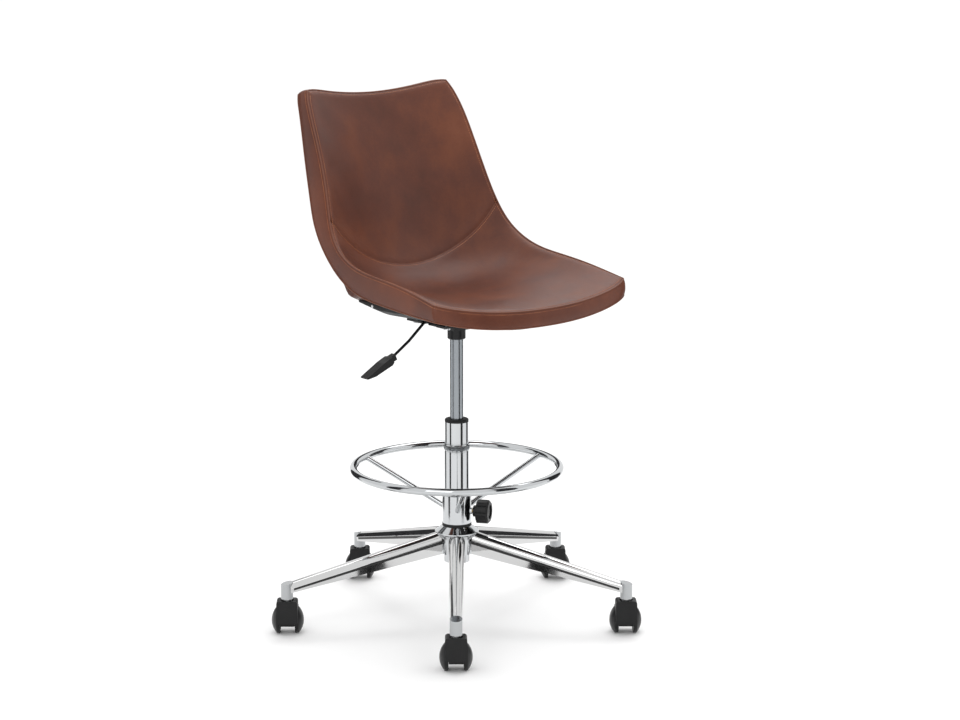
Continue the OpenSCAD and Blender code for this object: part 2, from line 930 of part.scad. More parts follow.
// Space inside the seat's outline, drawn in by inset: plan shape in front, front view behind.
module outline_space(inset) {
    split = bend_y;
    lap = 1;
    front = split - seat_len;
    intersection() {
        translate([0, 0, seat_z - 120])
        linear_extrude(400)
        intersection() {
            polygon([
                [-(seat_front_half - inset), front - 20],
                [seat_front_half - inset, front - 20],
                [seat_front_half - inset, front + front_bulge],
                [seat_bend_half - inset, split],
                [seat_bend_half - inset, split + lap],
                [-(seat_bend_half - inset), split + lap],
                [-(seat_bend_half - inset), split],
                [-(seat_front_half - inset), front + front_bulge]
            ]);
            translate([0, front + front_r])
            circle(r = front_r - inset, $fn = 360);
        }
        translate([-400, -600, 0])
        cube([800, 600 + split + lap, 2000]);
    }
    translate([0, 700, 0])
    rotate([90, 0, 0])
    linear_extrude(700 - split)
    difference() {
        polygon([
            [-(seat_bend_half - inset), seat_z - 140],
            [seat_bend_half - inset, seat_z - 140],
            [seat_bend_half - inset, seat_z],
            [back_top_half - inset, back_top - inset],
            [inset - back_top_half, back_top - inset],
            [inset - seat_bend_half, seat_z]
        ]);
        translate([0, back_top - top_dip + top_r - inset])
        circle(r = top_r, $fn = 360);
    }
}

// Space in front of the curved seam: the back panel's part of the padding.
module back_panel_space() {
    centre = seam_z + seam_r;
    translate([0, 700, centre])
    rotate([90, 0, 0])
    cylinder(h = 650 - bend_y, r = seam_r, $fn = 360);
    translate([-400, bend_y + 50, centre])
    cube([800, 600, 500]);
}

// The padding as one bent slab.
module padding() {
    intersection() {
        layer(dish_r, 0, shell_dish_r, -pad_t);
        outline_space(band_t);
    }
}

// Seat panel with its foam.
module seat_pad() {
    color("sienna")
    difference() {
        padding();
        back_panel_space();
    }
}

// Back panel with its foam.
module back_pad() {
    color("sienna")
    intersection() {
        padding();
        back_panel_space();
    }
}

// Sewn band round the edge, from the panels to the outer cover.
module side_band() {
    color("saddlebrown")
    difference() {
        intersection() {
            layer(dish_r, 0, pan_dish_r, pan_n);
            outline_space(0);
        }
        outline_space(band_t);
    }
}

// Moulded shell behind the padding, with the threaded holes for the seat bolts.
module inner_shell() {
    color("dimgray")
    difference() {
        intersection() {
            layer(shell_dish_r, -pad_t, cover_dish_r, -pad_t - shell_t);
            outline_space(band_t);
        }
        at_bolts()
        translate([0, 0, plate_z])
        cylinder(h = 60, r = bolt_r + slack);
    }
}

// Outer cover on the back of the shell.
module outer_cover() {
    color("saddlebrown")
    difference() {
        intersection() {
            layer(cover_dish_r, -pad_t - shell_t, pan_dish_r, pan_n);
            outline_space(band_t);
        }
        at_bolts()
        translate([0, 0, plate_z])
        cylinder(h = 60, r = bolt_r + 1);
    }
}

// Black pan under the seat, with four bosses down to the mounting plate.
module under_pan() {
    color("black")
    difference() {
        intersection() {
            union() {
                seat_frame()
                seat_and_bend(pan_len)
                layer_section(
                    pan_dish_r, pan_n - eps, pan_dish_r + pan_t, pan_n - pan_t, pan_half, 0
                );
                difference() {
                    at_bolts()
                    translate([0, 0, plate_z + plate_t + 2 * eps])
                    cylinder(h = 15, r = bolt_r * 2.75);
                    seat_frame()
                    seat_and_bend(pan_len)
                    intersection() {
                        translate([0, pan_n + pan_dish_r])
                        circle(r = pan_dish_r + 1, $fn = 240);
                        translate([-pan_half, pan_n - 5])
                        square([2 * pan_half, 60]);
                    }
                }
            }
            translate([-seat_front_half, -seat_len, plate_z])
            cube([2 * seat_front_half, seat_len + pan_back, 200]);
        }
        at_bolts()
        translate([0, 0, plate_z])
        cylinder(h = 60, r = bolt_r + 0.25);
    }
}

// Screw heads round the pan's edge.
module pan_screws() {
    side = pan_half - 12;
    fan = asin(side / (pan_dish_r + pan_t));
    color("silver")
    seat_frame()
    for (y = [-50, -140, -230])
        for (s = [-1, 1])
            translate([0, y, pan_n + pan_dish_r])
            rotate([0, s * -fan, 0])
            translate([0, 0, -pan_dish_r - pan_t - 1.8])
            cylinder(h = 1.8 - eps, r = pan_screw_r);
}

base_hub();
base_leg(1);  // base_leg_1
base_leg(2);  // base_leg_2
base_leg(3);  // base_leg_3
base_leg(4);  // base_leg_4
base_leg(5);  // base_leg_5
caster_sockets();
column_sleeve();
lift_tube();
guide_bush();
thrust_washer();
piston_rod();
retaining_clip();
pressure_tube();
release_pin();
ring_liner();
ring_collar();
ring_spokes();
ring_hoop();
clamp_screw();
clamp_knob();
taper_socket();
lever_box();
mount_plate();
plate_bolts();
lever_pin();
lever_rod();
lever_paddle();
under_pan();
pan_screws();
outer_cover();
inner_shell();
seat_pad();
back_pad();
side_band();
caster_hood(1);  // caster_hood_1
caster_stem(1);  // caster_stem_1
caster_axle(1);  // caster_axle_1
wheel(1, -1);  // wheel_1_left
wheel(1, 1);  // wheel_1_right
caster_hood(2);  // caster_hood_2
caster_stem(2);  // caster_stem_2
caster_axle(2);  // caster_axle_2
wheel(2, -1);  // wheel_2_left
wheel(2, 1);  // wheel_2_right
caster_hood(3);  // caster_hood_3
caster_stem(3);  // caster_stem_3
caster_axle(3);  // caster_axle_3
wheel(3, -1);  // wheel_3_left
wheel(3, 1);  // wheel_3_right
caster_hood(4);  // caster_hood_4
caster_stem(4);  // caster_stem_4
caster_axle(4);  // caster_axle_4
wheel(4, -1);  // wheel_4_left
wheel(4, 1);  // wheel_4_right
caster_hood(5);  // caster_hood_5
caster_stem(5);  // caster_stem_5
caster_axle(5);  // caster_axle_5
wheel(5, -1);  // wheel_5_left
wheel(5, 1);  // wheel_5_right
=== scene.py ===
# %% [markdown]
# # An adjustable swivel stool
# A padded leather bucket seat stands on a gas lift, with a clamped foot ring and a five-leg base on casters.
# The metal and plastic parts come packed from CAD, each already in its true place and size. What is left for
# Blender is everything soft and every finish: foam pads under leather, the sewn band, seams, stitches,
# chrome, steel and moulded plastic. Lengths are metres, Z is up, and the sitter faces -Y.

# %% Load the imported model
import bpy
import numpy as np
from mathutils import Matrix


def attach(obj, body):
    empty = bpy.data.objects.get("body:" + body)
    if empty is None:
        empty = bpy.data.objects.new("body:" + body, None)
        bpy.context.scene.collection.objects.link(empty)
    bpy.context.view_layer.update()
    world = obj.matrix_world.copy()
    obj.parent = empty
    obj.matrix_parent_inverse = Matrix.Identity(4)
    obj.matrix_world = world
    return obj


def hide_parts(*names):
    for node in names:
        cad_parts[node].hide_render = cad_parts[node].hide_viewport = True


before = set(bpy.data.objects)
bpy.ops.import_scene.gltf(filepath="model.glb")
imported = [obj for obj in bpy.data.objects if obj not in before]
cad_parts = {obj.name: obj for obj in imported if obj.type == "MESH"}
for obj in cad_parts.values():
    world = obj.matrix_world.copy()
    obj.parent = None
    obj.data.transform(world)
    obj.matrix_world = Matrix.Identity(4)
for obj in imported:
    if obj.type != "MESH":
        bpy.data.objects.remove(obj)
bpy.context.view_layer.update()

# %% [markdown]
# ## The view
# A long lens from a few metres away keeps upright lines almost parallel. The camera stands front left of the sitter, at eye height, and looks slightly down.

# %% Camera
stand_point = np.array([-3.4675, -4.3287, 1.6769])
look_way = np.array([0.6196, 0.7597, -0.1975])
lens_mm = 101.9


def aim(spot, direction):
    """Placing matrix whose -Z is the direction and whose X is level: the axes are built by cross products."""
    back = -direction / np.linalg.norm(direction)
    right = np.cross([0.0, 0.0, 1.0], back)
    right /= np.linalg.norm(right)
    up = np.cross(back, right)
    placed = np.eye(4)
    placed[:3, :3] = np.column_stack([right, up, back])
    placed[:3, 3] = spot
    return Matrix(placed.tolist())


camera = bpy.data.objects.new("camera", bpy.data.cameras.new("camera"))
bpy.context.scene.collection.objects.link(camera)
camera.data.lens = lens_mm
camera.data.sensor_width = 36.0
camera.data.clip_end = 200.0
camera.matrix_world = aim(stand_point, look_way)
bpy.context.scene.camera = camera
print("camera distance:", round(float(np.linalg.norm(stand_point[:2])), 2))

# %% [markdown]
# ## Lines of the seat
# An upholstered bucket seat is drawn as a boat is: by a few long lines. One line runs along the panel's
# edge from a top corner, down over the wing and out to a front corner. The other runs down the middle.
# Both are set out at the same eleven stations, and a smooth curve is passed through each.

# %% Stations, from the top edge (0) to the front edge (10)
edge_line = np.array([
    [0.184, 0.265, 1.1190], [0.196, 0.230, 1.0655], [0.202, 0.196, 1.0015], [0.208, 0.166, 0.9355],
    [0.217, 0.141, 0.8765], [0.227, 0.114, 0.8295], [0.234, 0.074, 0.7965], [0.238, 0.018, 0.7765],
    [0.240, -0.054, 0.7675], [0.242, -0.144, 0.7575], [0.248, -0.252, 0.7385],
])
centre_line = np.array([
    [0.283, 1.0965], [0.266, 1.0485], [0.245, 0.9885], [0.223, 0.9255], [0.202, 0.8655], [0.183, 0.8115],
    [0.147, 0.747], [0.094, 0.710], [0.020, 0.699], [-0.120, 0.7035], [-0.281, 0.7115],
])
band_depth = np.array([0.036, 0.040, 0.049, 0.054, 0.053, 0.047, 0.048, 0.055, 0.057, 0.053, 0.036])[:, None]
last = len(edge_line) - 1


def through(keys, at):
    """Natural cubic spline. Between two stations the curve is their straight mix plus a bend in the cube of the
    share, and the bends come from one set of equations that makes slope and curvature run on."""
    inner = len(keys) - 2
    system = 4 * np.eye(inner) + np.eye(inner, k=1) + np.eye(inner, k=-1)
    bends = np.zeros_like(keys)
    bends[1:-1] = np.linalg.solve(system, 6 * (keys[2:] - 2 * keys[1:-1] + keys[:-2]))
    low = np.clip(np.floor(at).astype(int), 0, len(keys) - 2)
    on = (at - low)[..., None]
    off = 1 - on
    return (off * keys[low] + on * keys[low + 1]
            + (off ** 3 - off) * bends[low] / 6 + (on ** 3 - on) * bends[low + 1] / 6)


def ease(value, start, end):
    """0 before start, 1 after end, and a smooth step between."""
    share = np.clip((value - start) / (end - start), 0, 1)
    return share * share * (3 - 2 * share)


edge_steps = np.diff(through(edge_line, np.linspace(0, last, 200)), axis=0)
print("edge line length:", round(float(np.linalg.norm(edge_steps, axis=1).sum()), 3))

# %% [markdown]
# ## The face of the seat
# Every point of the leather face has two numbers: `across`, from -1 at the left edge to 1 at the right, and
# `station`, from the top edge to the front. Across the seat the section rises from the middle to the edge
# as a power of `across`: near 2 gives the back's even dish, a little more gives the seat its flatter bottom.

# %% Face surface
def face(across, station):
    """Middle line plus (edge line minus middle line) times |across| to a power; the top corners draw in."""
    edge = through(edge_line, station)
    middle = through(centre_line, station)
    power = 2.0 + 0.5 * ease(station, 4.5, 7.0) - 0.3 * ease(station, 8.5, 10.0)
    rise = np.abs(across) ** power
    drawn_in = 1 - 0.030 * np.clip(1 - station / 0.6, 0, 1) ** 2
    x = edge[..., 0] * across * drawn_in
    y = middle[..., 0] + (edge[..., 1] - middle[..., 0]) * rise
    z = middle[..., 1] + (edge[..., 2] - middle[..., 1]) * rise
    return np.stack([x, y, z], axis=-1)


def unit(vectors):
    return vectors / np.maximum(np.linalg.norm(vectors, axis=-1, keepdims=True), 1e-12)


def face_normal(across, station, step=2e-3):
    """Towards the sitter: the cross product of the two small steps over the face."""
    down = face(across, station + step) - face(across, station - step)
    side = face(across + step, station) - face(across - step, station)
    return unit(np.cross(down, side))


def inward(across, station):
    """The way from the face to the back of the seat: square to the middle line, flared outwards on the back."""
    step = face(np.zeros_like(station), station + 1e-3) - face(np.zeros_like(station), station - 1e-3)
    way = np.stack([0 * station, -step[..., 2], step[..., 1]], axis=-1)
    opening = (0.08 + 0.10 * ease(station, 0.5, 3.0)) * (1 - ease(station, 4.0, 7.0))
    flare = opening * np.sign(across) * np.abs(across) ** 3
    return unit(unit(way) + flare[..., None] * np.array([1.0, 0, 0]))


def depth(across, station):
    """Thickness of the seat: the sewn band's depth at the edges, about 46 mm in the middle."""
    middle = 0.046 - 0.010 * np.exp(-(station / 0.5) ** 2) - 0.008 * np.exp(-((last - station) / 0.4) ** 2)
    middle = middle - 0.009 * np.exp(-((station - 5.8) / 1.1) ** 2)
    edge = through(band_depth, station)[..., 0]
    return middle + (edge - middle) * np.abs(across) ** 4


def top_row(across):
    return 0.12 * np.abs(across) ** 12


def front_row(across):
    return last - 0.10 * np.abs(across) ** 12


print("face at the middle of the seat:", np.round(face(np.array(0.0), np.array(8.0)), 3))

# %% [markdown]
# ## The curved seam
# The back panel ends in a U-shaped seam that meets the seat panel. Seen from the front it is part of a circle.
# For each place across the seat, the station of the seam is where the face crosses that circle.

# %% Seam across the face
seam_low, seam_radius = 0.746, 0.266


def seam_row(across):
    """Station where the face's height drops below the circle's lower half, found on a fine set of stations."""
    tries = np.linspace(3.0, 8.0, 1600)[:, None]
    spots = face(across[None, :] + 0 * tries, tries + 0 * across[None, :])
    circle = seam_low + seam_radius - np.sqrt(np.maximum(seam_radius ** 2 - spots[..., 0] ** 2, 0))
    first = np.argmax(spots[..., 2] < circle, axis=0)
    return tries[first, 0]


def spread(count, crowd):
    """Even steps from 0 to 1 mixed with cosine steps, which crowd towards both ends where the seams are."""
    even = np.linspace(0, 1, count)
    return (1 - crowd) * even + crowd * (1 - np.cos(np.pi * even)) / 2


across_steps = 2 * spread(131, 0.75) - 1
seam_stations = seam_row(across_steps)
seam_stations = np.convolve(np.pad(seam_stations, 2, mode="edge"), np.ones(5) / 5, mode="valid")
print("seam stations, edge and middle:", round(seam_stations[0], 2), round(seam_stations[65], 2))

# %% [markdown]
# ## Putting a surface into a mesh
# A grid of points becomes a mesh by joining each point to its neighbours. Three kinds are enough here: a slab
# (a face, a back and the wall between them), a hoop (a closed profile carried round a closed path) and a rod
# (a closed profile carried along an open path, with its ends closed).

# %% Mesh helpers
def new_piece(name, points, quads, caps=()):
    mesh = bpy.data.meshes.new(name)
    mesh.from_pydata(points.reshape(-1, 3).tolist(), [], quads.tolist() + [list(map(int, cap)) for cap in caps])
    mesh.polygons.foreach_set("use_smooth", np.ones(len(mesh.polygons), bool))
    mesh.update()
    piece = bpy.data.objects.new(name, mesh)
    bpy.context.scene.collection.objects.link(piece)
    return piece


def slab(name, front, back):
    """Front grid, back grid turned over, and a wall round the rim, so that the form is closed."""
    rows, cols = front.shape[:2]
    index = np.arange(rows * cols).reshape(rows, cols)
    cell = np.stack([index[:-1, :-1], index[1:, :-1], index[1:, 1:], index[:-1, 1:]], axis=-1).reshape(-1, 4)
    rim = np.concatenate([index[-1, :-1], index[:0:-1, -1], index[0, :0:-1], index[:-1, 0]])
    ahead = np.roll(rim, -1)
    total = rows * cols
    wall = np.stack([rim, rim + total, ahead + total, ahead], axis=-1)
    quads = np.concatenate([cell, cell[:, ::-1] + total, wall])
    return new_piece(name, np.concatenate([front.reshape(-1, 3), back.reshape(-1, 3)]), quads)


def hoop_quads(rings, sides):
    index = np.arange(rings * sides).reshape(rings, sides)
    ahead, beside = np.roll(index, -1, axis=0), np.roll(index, -1, axis=1)
    both = np.roll(ahead, -1, axis=1)
    return np.stack([index, ahead, both, beside], axis=-1).reshape(-1, 4)


def tube_rings(path, radius, sides, closed):
    """Circles square to the path: centre plus radius times (cos, sin) along two directions across the path."""
    if closed:
        along = np.roll(path, -1, axis=0) - np.roll(path, 1, axis=0)
    else:
        along = np.gradient(path, axis=0)
    along = unit(along)
    first = unit(np.cross(along, [0.13, 0.21, 0.97]))
    second = np.cross(along, first)
    turn = np.linspace(0, 2 * np.pi, sides, endpoint=False)
    cosine, sine = np.cos(turn)[None, :, None], np.sin(turn)[None, :, None]
    return path[:, None] + radius * (cosine * first[:, None] + sine * second[:, None])


def hoop(name, path, radius, sides=8):
    return new_piece(name, tube_rings(path, radius, sides, True), hoop_quads(len(path), sides)[:, ::-1])


def rod(name, path, radius, sides=8):
    quads = hoop_quads(len(path), sides)[:-sides, ::-1]
    start, end = np.arange(sides), np.arange(sides)[::-1] + (len(path) - 1) * sides
    return new_piece(name, tube_rings(path, radius, sides, False), quads, [start, end])


print("kinds of form:", "slab, hoop, rod")

# %% [markdown]
# ## The two pads
# A pad is foam with leather pulled over it. Where a seam pulls the leather down, the face dips in a soft
# valley; away from it the foam pushes it up. The dip depends only on the distance to the nearest seam, measured
# over the leather. The thread also gathers the leather a little, in short puckers that die out within a
# fingertip of the seam, and the whole face is never quite flat.

# %% Leather over foam
def distances(points):
    """Distance over the leather from each point to the four borders of its grid, by adding up the steps."""
    down = np.linalg.norm(np.diff(points, axis=0), axis=-1)
    side = np.linalg.norm(np.diff(points, axis=1), axis=-1)
    from_first = np.concatenate([np.zeros((1, points.shape[1])), np.cumsum(down, axis=0)])
    from_left = np.concatenate([np.zeros((points.shape[0], 1)), np.cumsum(side, axis=1)], axis=1)
    return from_first, from_first[-1:] - from_first, np.minimum(from_left, from_left[:, -1:] - from_left)


def valley(distance, deep, reach):
    return -deep * np.exp(-(distance / reach) ** 1.4)


def puckers(points, distance, high, reach):
    """Sum of three waves of unlike length along the seam, fading away from it."""
    along = points @ np.array([310.0, 270.0, 330.0])
    waves = np.sin(along) + 0.7 * np.sin(1.73 * along + 1) + 0.5 * np.sin(0.61 * along + 2)
    return high * np.exp(-distance / reach) * waves / 2


def slow_waves(points):
    x, y, z = points[..., 0], points[..., 1], points[..., 2]
    broad = np.sin(38 * x + 17 * z) * np.sin(29 * z + 31 * y + 1)
    close = np.sin(67 * x - 23 * y + 2) * np.sin(53 * z + 41 * y)
    return 0.0005 * (broad + 0.6 * close)


edge_drop, edge_reach = 0.0042, 0.0065
seam_drop, seam_reach = 0.0026, 0.0060


def pad(name, first_row, last_row, rows, first_is_seam):
    """Closed crowned pad between two rows of the face: leather in front, foam down to 0.62 of the depth."""
    share = spread(rows, 0.75)[:, None]
    across = across_steps[None, :] + 0 * share
    station = first_row[None, :] * (1 - share) + last_row[None, :] * share
    points, out = face(across, station), face_normal(across, station)
    from_first, from_last, from_side = distances(points)
    to_seam, to_end = (from_first, from_last) if first_is_seam else (from_last, from_first)
    lift = valley(np.minimum(from_side, to_end), edge_drop, edge_reach) + valley(to_seam, seam_drop, seam_reach)
    lift += puckers(points, to_seam, 0.00035, 0.012) + puckers(points, np.minimum(from_side, to_end), 0.00022, 0.010)
    lift += slow_waves(points) * ease(np.minimum(np.minimum(from_side, to_end), to_seam), 0, 0.03)
    under = points + inward(across, station) * (0.62 * depth(across, station))[..., None]
    return slab(name, points + out * lift[..., None], under)


back_cushion = pad("back_cushion", top_row(across_steps), seam_stations, 110, False)
seat_cushion = pad("seat_cushion", seam_stations, front_row(across_steps), 120, True)
for piece, node in ((back_cushion, "back_pad"), (seat_cushion, "seat_pad")):
    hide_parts(node)
    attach(piece, "seat")
    print(piece.name, "faces:", len(piece.data.polygons))

# %% [markdown]
# ## The sewn band
# The band, or boxing, is a strip of the same leather that runs all round the edge, from the panels to the back
# cover. It bellies out a little because the foam is squeezed behind it, and it pulls in at both its seams.

# %% Band round the edge
def rim(count_side=260, count_end=120):
    """Across and station along the rim: front edge to the right, up the right side, top edge, down the left."""
    end = 2 * spread(count_end, 0.6) - 1
    side = np.linspace(top_row(1.0), front_row(1.0), count_side)
    across = np.concatenate([end[:-1], np.ones(count_side - 1), end[:0:-1], -np.ones(count_side - 1)])
    station = np.concatenate([front_row(end[:-1]), side[:0:-1], top_row(end[:0:-1]), side[:-1]])
    return across, station


rim_across, rim_station = rim()
rim_out = face_normal(rim_across, rim_station)
rim_top = face(rim_across, rim_station) - rim_out * edge_drop
rim_way = inward(rim_across, rim_station)
rim_low = face(rim_across, rim_station) + rim_way * depth(rim_across, rim_station)[:, None]
rim_along = unit(np.roll(rim_top, -1, axis=0) - np.roll(rim_top, 1, axis=0))
rim_side = unit(np.cross(rim_way, rim_along))
down_band = np.linspace(0, 1, 15)[None, :, None]
belly = 0.0042 * np.sin(np.pi * down_band) ** 0.6
band_face = rim_top[:, None] * (1 - down_band) + rim_low[:, None] * down_band + belly * rim_side[:, None]
to_band_seam = 0.05 * np.minimum(down_band[..., 0], 1 - down_band[..., 0])
band_face += puckers(band_face, to_band_seam, 0.0003, 0.010)[..., None] * rim_side[:, None]
band_inside = band_face - 0.0022 * rim_side[:, None]
profile = np.concatenate([band_face, band_inside[:, ::-1]], axis=1)
edge_band = new_piece("edge_band", profile, hoop_quads(profile.shape[0], profile.shape[1]))
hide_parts("side_band")
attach(edge_band, "seat")
rim_steps = np.roll(rim_top, -1, axis=0) - rim_top
print("band length round the seat:", round(float(np.linalg.norm(rim_steps, axis=1).sum()), 2))

# %% [markdown]
# ## The back cover and the shell
# The back of the seat is one piece of leather over the outside of a moulded shell. Under the seat it lies in a
# shallow recess, where the plastic pan is screwed on, so there it follows the pan's own hollow. The same
# surface, moved towards the face, gives the moulded shell that carries the foam.

# %% Outside of the seat
bend_start_y, base_height, tilt, bend_radius = 0.045, 0.698, np.radians(2.2), 0.130
pan_hollow_radius, pan_hollow_low = 0.490, -0.044


def to_seat(points):
    """Row frame to seat frame: distance along the seat's middle line, and height above it. In the bend these are
    the arc length and the distance in from a circle of bend_radius."""
    y, z = points[..., 1] - bend_start_y, points[..., 2] - base_height
    along = y * np.cos(tilt) - z * np.sin(tilt)
    above = y * np.sin(tilt) + z * np.cos(tilt)
    turn = np.arctan2(along, bend_radius - above)
    bent = along > 0
    far = np.hypot(along, bend_radius - above)
    return np.where(bent, bend_radius * turn, along), np.where(bent, bend_radius - far, above)


def from_seat(x, along, above):
    """Seat frame back to row frame, the same two cases the other way."""
    turn = np.maximum(along, 0) / bend_radius
    y = np.where(along > 0, (bend_radius - above) * np.sin(turn), along)
    z = np.where(along > 0, bend_radius - (bend_radius - above) * np.cos(turn), above)
    return np.stack([x + 0 * y, bend_start_y + y * np.cos(tilt) + z * np.sin(tilt),
                     base_height - y * np.sin(tilt) + z * np.cos(tilt)], axis=-1)


def pan_hollow(x):
    return pan_hollow_low + pan_hollow_radius - np.sqrt(pan_hollow_radius ** 2 - x ** 2)


def outside(across, station):
    """Face plus depth, drawn to the pan's hollow where the pan lies."""
    points = face(across, station) + inward(across, station) * depth(across, station)[..., None]
    along, above = to_seat(points)
    x = points[..., 0]
    over_pan = (1 - ease(np.abs(x), 0.2235, 0.238)) * ease(along, -0.300, -0.281) * (1 - ease(along, 0.022, 0.060))
    above = above + over_pan * (pan_hollow(np.clip(x, -0.24, 0.24)) + 0.0004 - above)
    return from_seat(x, along, above)


share = spread(150, 0.5)[:, None]
cover_across = across_steps[None, :] + 0 * share
cover_station = top_row(across_steps)[None, :] * (1 - share) + front_row(across_steps)[None, :] * share
cover_out = outside(cover_across, cover_station)
cover_in = cover_out - 0.002 * inward(cover_across, cover_station)
back_cover = slab("back_cover", cover_in, cover_out)
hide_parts("outer_cover")
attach(back_cover, "seat")

shell_share = spread(60, 0.3)[:, None]
shell_across = 0.90 * np.linspace(-1, 1, 60)[None, :] + 0 * shell_share
shell_station = 0.3 + (last - 0.6) * shell_share + 0 * shell_across
shell_face, shell_way = face(shell_across, shell_station), inward(shell_across, shell_station)
shell_depth = depth(shell_across, shell_station)[..., None]
moulded_shell = slab("moulded_shell", shell_face + shell_way * (0.66 * shell_depth),
                     shell_face + shell_way * (0.80 * shell_depth))
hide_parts("inner_shell")
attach(moulded_shell, "seat")
print("cover and shell faces:", len(back_cover.data.polygons), len(moulded_shell.data.polygons))

# %% [markdown]
# ## The pan under the seat
# A black moulded pan hides the shell's underside. Its floor is thin, and its long edges are deep ribs, which
# show as a dark strip below the leather. Small screws along the ribs hold it up.

# %% Pan and its screws
pan_half, pan_front, pan_end, rib = 0.222, -0.278, 0.015, 0.012
pan_along = np.linspace(pan_front, pan_end, 90)[:, None]
pan_x = pan_half * (2 * spread(90, 0.6) - 1)[None, :]
corner = 0.02 * ease(np.abs(pan_x), 0.17, 0.222)
pan_along = pan_along + corner * np.linspace(1, -1, 90)[:, None]
pan_top = from_seat(pan_x + 0 * pan_along, pan_along[::-1] + 0 * pan_x, pan_hollow(pan_x) - 0.0002 + 0 * pan_along)
rib_ends = ease(pan_along, pan_front, pan_front + 0.05) * (1 - ease(pan_along, pan_end - 0.09, pan_end))
rib_drop = rib * ease(np.abs(pan_x), 0.168, 0.196) * rib_ends[::-1]
pan_low = from_seat(pan_x + 0 * pan_along, pan_along[::-1] + 0 * pan_x, pan_hollow(pan_x) - 0.004 - rib_drop)
seat_pan = slab("seat_pan", pan_top, pan_low)
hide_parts("under_pan")
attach(seat_pan, "seat")


def dome_head(radius, high, rings=7, sides=20):
    """Round screw head about +Z: a quarter ellipse from the rim to the pole, on a flat seat."""
    turn = np.linspace(0, 2 * np.pi, sides, endpoint=False)
    rise = np.linspace(0, 0.49 * np.pi, rings)
    ring = np.stack([np.cos(rise)[:, None] * np.cos(turn) * radius, np.cos(rise)[:, None] * np.sin(turn) * radius,
                     np.sin(rise)[:, None] * high + 0 * turn], axis=-1)
    quads = hoop_quads(rings, sides)[:-sides]
    return ring.reshape(-1, 3), quads[:, ::-1], np.arange(sides)[::-1], np.arange(sides) + (rings - 1) * sides


head, head_quads, head_base, head_pole = dome_head(0.0034, 0.0014)
screw_along = np.array([-0.230, -0.140, -0.050])
all_points, all_quads, all_caps = [], [], []
for side in (-1, 1):
    seats = from_seat(np.full(3, side * pan_half), screw_along, np.full(3, pan_hollow(pan_half) - 0.010))
    placed = seats[:, None] + np.stack([side * head[:, 2], side * -head[:, 0], head[:, 1]], axis=-1)[None]
    for spot in placed:
        base = len(head) * len(all_points)
        all_points.append(spot)
        all_quads.append(head_quads[:, ::-1] + base)
        all_caps += [head_base[::-1] + base, head_pole[::-1] + base]
rib_screws = new_piece("rib_screws", np.concatenate(all_points), np.concatenate(all_quads), all_caps)
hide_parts("pan_screws")
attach(rib_screws, "seat")
print("pan faces:", len(seat_pan.data.polygons), "screws:", len(all_points))

# %% [markdown]
# ## Seams and stitches
# Where two pieces of leather meet, their folded edges make a fine ridge. Beside it runs topstitching in a
# lighter thread: short stitches with small gaps, each pulled a little into the leather. One stitch is modelled as a
# grain of rice and repeated along a line drawn a few millimetres from the seam.

# %% Seam ridges
face_seam = hoop("face_seam", rim_top + 0.0004 * rim_side, 0.0013)
low_seam = hoop("low_seam", rim_low + 0.0004 * rim_side, 0.0014)
fine_across = np.linspace(-0.995, 0.995, 260)
fine_station = np.interp(fine_across, across_steps, seam_stations)
cross_path = face(fine_across, fine_station) - face_normal(fine_across, fine_station) * (seam_drop + 0.0003)
cross_seam = rod("cross_seam", cross_path, 0.0010)
for piece in (face_seam, low_seam, cross_seam):
    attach(piece, "seat")


# %% Rows of stitches
def evenly(path, pitch, closed):
    """Points one pitch apart along a path, by the length added up along it."""
    whole = np.vstack([path, path[:1]]) if closed else path
    run = np.concatenate([[0], np.cumsum(np.linalg.norm(np.diff(whole, axis=0), axis=1))])
    count = int(run[-1] / pitch)
    marks = (np.arange(count) + 0.5) * run[-1] / count
    return np.stack([np.interp(marks, run, whole[:, k]) for k in range(3)], axis=-1), marks / run[-1]


def stitch_row(path, out, pitch=0.0043, long=0.0031, thick=0.00042, closed=True):
    """One small ellipsoid at each mark, along the row; out is the leather's normal at the path's points."""
    spots, shares = evenly(path, pitch, closed)
    whole = np.vstack([out, out[:1]]) if closed else out
    run = np.linspace(0, 1, len(whole))
    outs = unit(np.stack([np.interp(shares, run, whole[:, k]) for k in range(3)], axis=-1))
    along = unit(np.gradient(spots, axis=0))
    beside = unit(np.cross(outs, along))
    turn = np.linspace(0, 2 * np.pi, 6, endpoint=False)
    reach = np.array([-0.98, -0.75, -0.3, 0.3, 0.75, 0.98])
    fat = np.sqrt(1 - reach ** 4) * thick
    grain = np.stack([reach[:, None] * long / 2 + 0 * turn, fat[:, None] * np.cos(turn),
                      fat[:, None] * np.sin(turn)], axis=-1).reshape(-1, 3)
    grain[:, 2] += 0.00012
    axes = np.stack([along, beside, outs], axis=1)
    points = spots[:, None] + np.einsum("pk,nkc->npc", grain, axes)
    one = hoop_quads(6, 6)[:-6, ::-1]
    starts = np.arange(len(spots)) * 36
    quads = (one[None] + starts[:, None, None]).reshape(-1, 4)
    ends = np.concatenate([np.arange(6)[None, :] + starts[:, None], np.arange(6)[None, ::-1] + 30 + starts[:, None]])
    return points.reshape(-1, 3), quads, ends


def inset_rim(gap):
    """A line on the face a set distance in from the rim: the rim's own points moved along the face."""
    centre_way = unit(np.cross(rim_out, rim_along))
    moved = face(rim_across, rim_station) + centre_way * gap
    return moved + rim_out * valley(np.array(gap), edge_drop, edge_reach)


